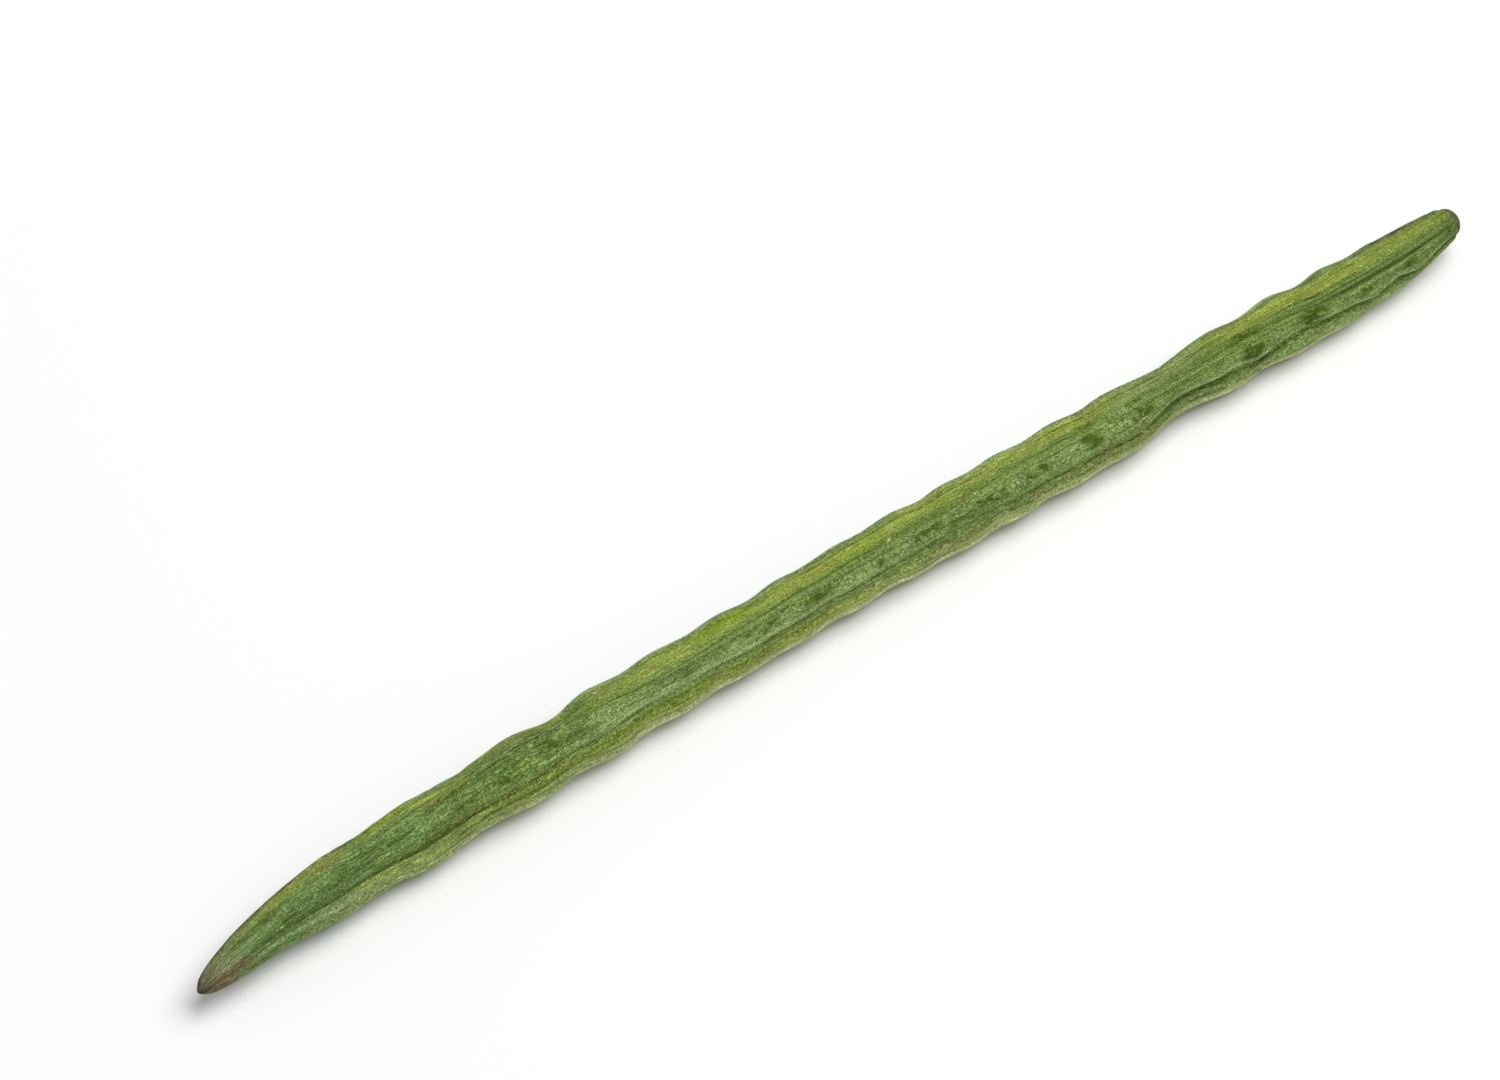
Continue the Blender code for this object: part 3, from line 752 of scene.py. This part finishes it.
def screenColour(name):
    # from a screen's numbers to the light they stand for
    shares = [c / 255 for c in skinLook["colours"][name]]
    light = [s / 12.92 if s <= 0.04045 else ((s + 0.055) / 1.055) ** 2.4 for s in shares]
    return (*[value / skinLook["lightLevel"] for value in light], 1.0)


def addNode(tree, kind, **settings):
    node = tree.nodes.new(kind)
    for name, value in settings.items():
        setattr(node, name, value)
    return node


def layOutNodes(tree, columnWidth=220, rowHeight=160):
    # each node goes left of all the nodes that it feeds
    columns = {}

    def columnOf(node):
        if node.name not in columns:
            fed = [link.to_node for output in node.outputs for link in output.links]
            columns[node.name] = max((columnOf(other) + 1 for other in fed), default=0)
        return columns[node.name]

    rows = {}
    for node in tree.nodes:
        column = columnOf(node)
        rows[column] = rows.get(column, 0) + 1
        node.location = (-columnWidth * column, -rowHeight * rows[column])


def makeStreakGroup():
    # noise in millimetres on the straightened pod, spread over the whole range from 0 to 1
    group = bpy.data.node_groups.new("Streaks", "ShaderNodeTree")
    face = group.interface
    face.new_socket("Place", in_out="INPUT", socket_type="NodeSocketVector")
    for name, value in streakInputs.items():
        socket = face.new_socket(name, in_out="INPUT", socket_type="NodeSocketFloat")
        socket.default_value = value
    face.new_socket("Mask", in_out="OUTPUT", socket_type="NodeSocketFloat")
    source = addNode(group, "NodeGroupInput")
    size = addNode(group, "ShaderNodeCombineXYZ")
    scaled = addNode(group, "ShaderNodeVectorMath", operation="DIVIDE")
    grain = addNode(group, "ShaderNodeTexNoise")
    spread = addNode(group, "ShaderNodeMapRange")
    result = addNode(group, "NodeGroupOutput")
    link = group.links.new
    link(source.outputs["Length"], size.inputs["X"])
    link(source.outputs["Width"], size.inputs["Y"])
    link(source.outputs["Width"], size.inputs["Z"])
    link(source.outputs["Place"], scaled.inputs[0])
    link(size.outputs["Vector"], scaled.inputs[1])
    link(scaled.outputs["Vector"], grain.inputs["Vector"])
    grain.inputs["Scale"].default_value = 1.0
    link(source.outputs["Detail"], grain.inputs["Detail"])
    link(grain.outputs["Fac"], spread.inputs["Value"])
    link(source.outputs["Low"], spread.inputs["From Min"])
    link(source.outputs["High"], spread.inputs["From Max"])
    link(spread.outputs["Result"], result.inputs["Mask"])
    layOutNodes(group)
    return group


def makeSkinMaterial():
    material = bpy.data.materials.new("podSkin")
    material.use_nodes = True
    tree = material.node_tree
    link = tree.links.new
    shader = tree.nodes["Principled BSDF"]
    streakGroup = makeStreakGroup()
    place = addNode(tree, "ShaderNodeAttribute", attribute_name="podPlace").outputs["Vector"]

    def mask(name):
        return addNode(tree, "ShaderNodeAttribute", attribute_name=name).outputs["Fac"]

    def streaks(name):
        node = addNode(tree, "ShaderNodeGroup", node_tree=streakGroup)
        link(place, node.inputs["Place"])
        for socket, value in zip(streakInputs, skinLook["grain"][name]):
            node.inputs[socket].default_value = value
        return node.outputs["Mask"]

    def calculate(operation, a, b):
        node = addNode(tree, "ShaderNodeMath", operation=operation)
        for socket, value in zip(node.inputs, (a, b)):
            if isinstance(value, (int, float)):
                socket.default_value = value
            else:
                link(value, socket)
        return node.outputs["Value"]

    def times(a, b):
        return calculate("MULTIPLY", a, b)

    def plus(a, b):
        return calculate("ADD", a, b)

    def between(value, low, high, newLow=0.0, newHigh=1.0):
        node = addNode(tree, "ShaderNodeMapRange", interpolation_type="SMOOTHSTEP")
        link(value, node.inputs["Value"])
        limits = {"From Min": low, "From Max": high, "To Min": newLow, "To Max": newHigh}
        for name, number in limits.items():
            node.inputs[name].default_value = number
        return node.outputs["Result"]

    def over(value, atNone, atFull):
        return between(value, 0.0, 1.0, atNone, atFull)

    def blend(below, above, amount):
        # a mix node has its colours at inputs 6 and 7, and gives the mixed one at output 2
        node = addNode(tree, "ShaderNodeMix", data_type="RGBA")
        link(amount, node.inputs[0])
        for socket, colour in ((node.inputs[6], below), (node.inputs[7], above)):
            if isinstance(colour, str):
                socket.default_value = screenColour(colour)
            else:
                link(colour, socket)
        return node.outputs[2]

    noises = {name: streaks(name) for name in skinLook["grain"]}
    clouds, patches, clumps, strands, threads, mottle, speckle, dashes = noises.values()
    covers = skinLook["covers"]
    ranges = skinLook["ranges"]

    def frayed(kind, field):
        # a soft mark whose edge is frayed by noise
        look = skinLook["marks"][kind]
        edge = over(noises[look["noise"]], 1 - look["fray"], 1 + look["fray"])
        return between(times(field, edge), look["low"], look["high"])

    def layMark(colour, kind, shape):
        look = skinLook["marks"][kind]
        return blend(colour, look["colour"], times(shape, look["cover"]))

    def layMarks(colour, *kinds):
        for kind in kinds:
            colour = layMark(colour, kind, frayed(kind, mask(kind)))
        return colour

    axes = addNode(tree, "ShaderNodeSeparateXYZ")
    link(place, axes.inputs["Vector"])
    station = axes.outputs["X"]
    grain = between(plus(mottle, speckle), *ranges["grain"])
    lined = mask("lined")

    # green skin, its powdery bloom and its coloured ribs; along the lower side the pale and olive
    # marks are painted light
    colour = blend("leaf", "leafPale", times(clouds, covers["clouds"]))
    colour = blend(colour, "sage", between(station, *ranges["sage"]))
    colour = blend(colour, "bloomAndPaintedLight", times(mask("paleAndLowerSideLight"), over(grain, *skinLook["paleOverGrain"])))
    colour = layMarks(colour, "yellow", "oliveAndLowerEdgeLight", "moss", "bright")
    # light and dark fibres
    fibres = over(lined, *skinLook["fibresOverLined"])
    colour = blend(colour, "deep", times(between(strands, *ranges["darkFibres"]), fibres))
    colour = blend(colour, "leafPale", times(between(strands, *ranges["paleFibres"]), fibres))
    darkThreads = between(threads, *ranges["darkFibres"])
    colour = blend(colour, "deep", times(darkThreads, covers["threads"]))
    colour = layMarks(colour, "shade")
    powder = times(between(grain, *ranges["powder"]), mask("crown"))
    colour = blend(colour, "bloomAndPaintedLight", times(powder, covers["powder"]))
    # a painted highlight along the lip above the front seam
    colour = blend(colour, "bloomAndPaintedLight", times(mask("lipAndHighlight"), covers["lipAndHighlight"]))
    # painted shade darkens the grooves and the collar's groove
    colour = layMarks(colour, "grooveShade")
    colour = blend(colour, "grooveShade", times(mask("collar"), covers["collar"]))
    # dark blotches, brown streaks with orange flecks, and pale scratches
    blotch = frayed("blotch", times(mask("blotch"), over(clumps, *skinLook["blotchOverClumps"])))
    colour = layMark(colour, "blotch", blotch)
    brown = times(frayed("brown", mask("brown")), between(dashes, *ranges["brown"]))
    colour = layMark(colour, "brown", brown)
    orange = times(brown, between(speckle, *ranges["orange"]))
    colour = blend(colour, "orange", times(orange, covers["orange"]))
    colour = layMarks(colour, "cream")
    dashed = times(mask("dashed"), between(dashes, *ranges["dashed"]))
    colour = blend(colour, "cream", times(dashed, covers["dashed"]))
    # a painted highlight along the lower edge, and pale lines elsewhere
    colour = layMarks(colour, "paleLinesAndRimHighlight")
    # the tip's brown and grey streaks run into the green, up to its dark point
    streakedStation = plus(station, times(plus(strands, dashes), skinLook["tipStreaks"]))
    husk = between(streakedStation, *ranges["husk"])
    colour = blend(colour, "husk", times(husk, covers["husk"]))
    # painted shade, partly brown, along the outline at both ends, then rust at the tip
    colour = layMarks(colour, "brownAndEdgeShade", "rust")
    tip = between(streakedStation, *ranges["tip"])
    colour = blend(colour, "tip", times(tip, covers["tip"]))
    scar = between(station, *ranges["scar"])
    colour = blend(colour, "scar", times(scar, covers["scar"]))

    # light and dark over all colours
    grit = times(calculate("SUBTRACT", mottle, 0.5), over(lined, *skinLook["gritOverLined"]))
    light = times(plus(grit, 1.0), over(speckle, *skinLook["lightOverSpeckle"]))
    light = times(light, over(patches, *skinLook["lightOverPatches"]))
    # painted light, brighter towards the tip
    light = times(light, between(station, *skinLook["paintedLightAlongPod"]))
    crinkle = calculate("SUBTRACT", dashes, skinLook["crinkleLevel"])
    crinkle = times(crinkle, between(station, *skinLook["crinkleAlongPod"]))
    light = times(light, plus(crinkle, 1.0))
    scaled = addNode(tree, "ShaderNodeVectorMath", operation="SCALE")
    link(colour, scaled.inputs[0])
    link(light, scaled.inputs["Scale"])
    link(scaled.outputs["Vector"], shader.inputs["Base Color"])

    rough = over(mottle, *skinLook["roughOverMottle"])
    rough = calculate("SUBTRACT", rough, times(blotch, skinLook["blotchGloss"]))
    link(rough, shader.inputs["Roughness"])
    shader.inputs["Specular IOR Level"].default_value = skinLook["specular"]

    height = times(crinkle, skinLook["crinkleBump"])
    for name, share in skinLook["bumpShares"].items():
        height = plus(height, times(noises[name], share))
    bump = addNode(tree, "ShaderNodeBump")
    bump.inputs["Distance"].default_value = skinLook["bumpHeight"]
    link(height, bump.inputs["Height"])
    link(bump.outputs["Normal"], shader.inputs["Normal"])
    layOutNodes(tree)
    print("skin painted")
    return material


studio = {
    "floorSize": 6.0,
    "floorColour": (0.9, 0.9, 0.9, 1.0),
    "floorRoughness": 0.9,
    "floorSpecular": 0.1,
    "skyColour": (1.0, 1.0, 1.0, 1.0),
    "skyStrength": 0.44,
    # direction to each lamp, distance, size, power and what it lights
    "lamps": {
        "overhead": {
            "towards": (0.55, -0.08, 1.0), "distance": 5.0, "size": 4.6, "power": 238.0,
            "lights": "floor",
        },
        "key": {
            "towards": (0.25, 0.45, 0.95), "distance": 3.0, "size": 1.3, "power": 90.0,
            "lights": "podSkin",
        },
        "frontFill": {
            "towards": (-0.6, -1.0, 0.3), "distance": 3.0, "size": 1.2, "power": 54.0,
            "lights": "podSkin",
        },
    },
}


def makeFloor():
    bm = bmesh.new()
    bmesh.ops.create_grid(bm, x_segments=1, y_segments=1, size=studio["floorSize"] / 2)
    mesh = bpy.data.meshes.new("floor")
    bm.to_mesh(mesh)
    bm.free()
    material = bpy.data.materials.new("paleFloor")
    material.use_nodes = True
    shader = material.node_tree.nodes["Principled BSDF"]
    shader.inputs["Base Color"].default_value = studio["floorColour"]
    shader.inputs["Roughness"].default_value = studio["floorRoughness"]
    shader.inputs["Specular IOR Level"].default_value = studio["floorSpecular"]
    mesh.materials.append(material)
    floor = bpy.data.objects.new("floor", mesh)
    bpy.context.scene.collection.objects.link(floor)


def makeLights():
    for name, setting in studio["lamps"].items():
        lamp = bpy.data.lights.new(name, "AREA")
        lamp.shape = "DISK"
        lamp.size = setting["size"]
        lamp.energy = setting["power"]
        obj = bpy.data.objects.new(name, lamp)
        towards = Vector(setting["towards"]).normalized()
        obj.location = towards * setting["distance"]
        obj.rotation_euler = towards.to_track_quat("Z", "Y").to_euler()
        bpy.context.scene.collection.objects.link(obj)
        receivers = bpy.data.collections.new(name + "Receivers")
        receivers.objects.link(bpy.data.objects[setting["lights"]])
        obj.light_linking.receiver_collection = receivers
    world = bpy.data.worlds.new("studio")
    world.use_nodes = True
    sky = world.node_tree.nodes["Background"]
    sky.inputs["Color"].default_value = studio["skyColour"]
    sky.inputs["Strength"].default_value = studio["skyStrength"]
    bpy.context.scene.world = world
    bpy.context.scene.view_settings.view_transform = "Standard"


# The camera's target and distance are in millimetres, its angles in degrees.
viewpoint = {
    "target": (-14.64, 33.48, 0.0),
    "azimuth": -36.32,
    "elevation": 55.0,
    "distance": 1210.6,
    "lens": 100.0,
    "sensor": 36.0,
    "clipEnd": 20000.0,
}


def makeCamera():
    data = bpy.data.cameras.new("camera")
    data.lens = viewpoint["lens"]
    data.sensor_width = viewpoint["sensor"]
    data.clip_end = viewpoint["clipEnd"] * mm
    camera = bpy.data.objects.new("camera", data)
    turn = math.radians(viewpoint["azimuth"])
    rise = math.radians(viewpoint["elevation"])
    back = Vector((
        math.sin(turn) * math.cos(rise), -math.cos(turn) * math.cos(rise), math.sin(rise)
    ))
    camera.location = (Vector(viewpoint["target"]) + back * viewpoint["distance"]) * mm
    camera.rotation_euler = back.to_track_quat("Z", "Y").to_euler()
    bpy.context.scene.collection.objects.link(camera)
    bpy.context.scene.camera = camera


makeFloor()
makeCamera()
pod = buildPod()
makeLights()
print("studio ready")

pod.data.materials.append(makeSkinMaterial())
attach(pod, "root")
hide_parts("pod")
print("pod dressed")
